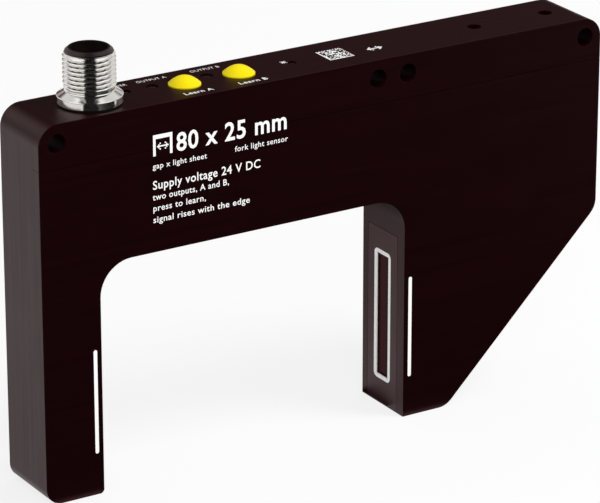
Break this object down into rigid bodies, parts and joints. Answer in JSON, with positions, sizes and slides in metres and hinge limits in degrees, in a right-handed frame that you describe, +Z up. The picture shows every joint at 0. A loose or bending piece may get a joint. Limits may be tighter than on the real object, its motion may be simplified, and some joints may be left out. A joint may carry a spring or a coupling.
{
  "type": "fork sensor",
  "caption": "Fork-shaped light sensor: windowed legs face each other across a gap, under a bridge with a threaded plug connector, press buttons and signal lamps.",
  "frame": {"origin": "on the plane of the leg ends, under the middle of the housing's length and thickness", "axes": "+X along the bridge from the narrow receiver leg to the wide emitter leg, +Y from the front face to the back face, +Z up from the leg ends to the bridge"},
  "size_m": [0.1488, 0.0176, 0.1023],
  "materials": {
    "housing_black": "black anodised, satin",
    "bezel_grey": "moulded, satin",
    "mark_white": "paint fill",
    "window_red": "dark red filter",
    "seal_black": "soft black",
    "nickel": "nickel plated, bright",
    "plug_black": "moulded black",
    "contact_gold": "gold flash",
    "button_yellow": "soft yellow",
    "guide_clear": "clear",
    "lamp_white": "moulded white",
    "board_green": "solder mask",
    "chip_black": "moulded black",
    "plunger_grey": "moulded grey",
    "flex_amber": "polyimide film",
    "optic_glass": "polished",
    "steel": "plain",
    "mirror": "front coated"
  },
  "bodies": {
    "sensor": {"housing": "housing_black", "front_cover": "housing_black", "emitter_bezel": "bezel_grey", "receiver_bezel": "bezel_grey", "beam_bars": "mark_white", "emitter_frame": "mark_white", "receiver_frame": "mark_white", "emitter_window": "window_red", "receiver_window": "window_red", "cover_seal": "seal_black", "connector_gasket": "seal_black", "button_seals": "seal_black", "connector_shell": "nickel", "connector_insert": "plug_black", "connector_pins": "contact_gold", "light_guide_power": "guide_clear", "light_guide_a": "guide_clear", "light_guide_b": "guide_clear", "light_guide_beam": "guide_clear", "indicator_lamps": "lamp_white", "operator_board": "board_green", "main_board": "board_green", "receiver_board": "board_green", "laser_board": "board_green", "switch_body_a": "chip_black", "switch_body_b": "chip_black", "board_header": "chip_black", "controller_chip": "chip_black", "output_drivers": "chip_black", "line_sensor": "chip_black", "lens_frame": "chip_black", "receiver_flex": "flex_amber", "laser_flex": "flex_amber", "sensor_glass": "optic_glass", "collimator_lens": "optic_glass", "laser_diode": "steel", "laser_holder": "steel", "board_screws": "steel", "holder_screws": "steel", "fold_mirror": "mirror"},
    "button_a": {"button_cap_a": "button_yellow", "switch_plunger_a": "plunger_grey"},
    "button_b": {"button_cap_b": "button_yellow", "switch_plunger_b": "plunger_grey"}
  },
  "joints": [
    {"name": "press_a", "type": "slide", "parent": "sensor", "child": "button_a", "axis": [0, 0, -1], "range_m": [0, 0.0004], "stiffness_N_per_m": 3000},
    {"name": "press_b", "type": "slide", "parent": "sensor", "child": "button_b", "axis": [0, 0, -1], "range_m": [0, 0.0004], "stiffness_N_per_m": 3000}
  ]
}
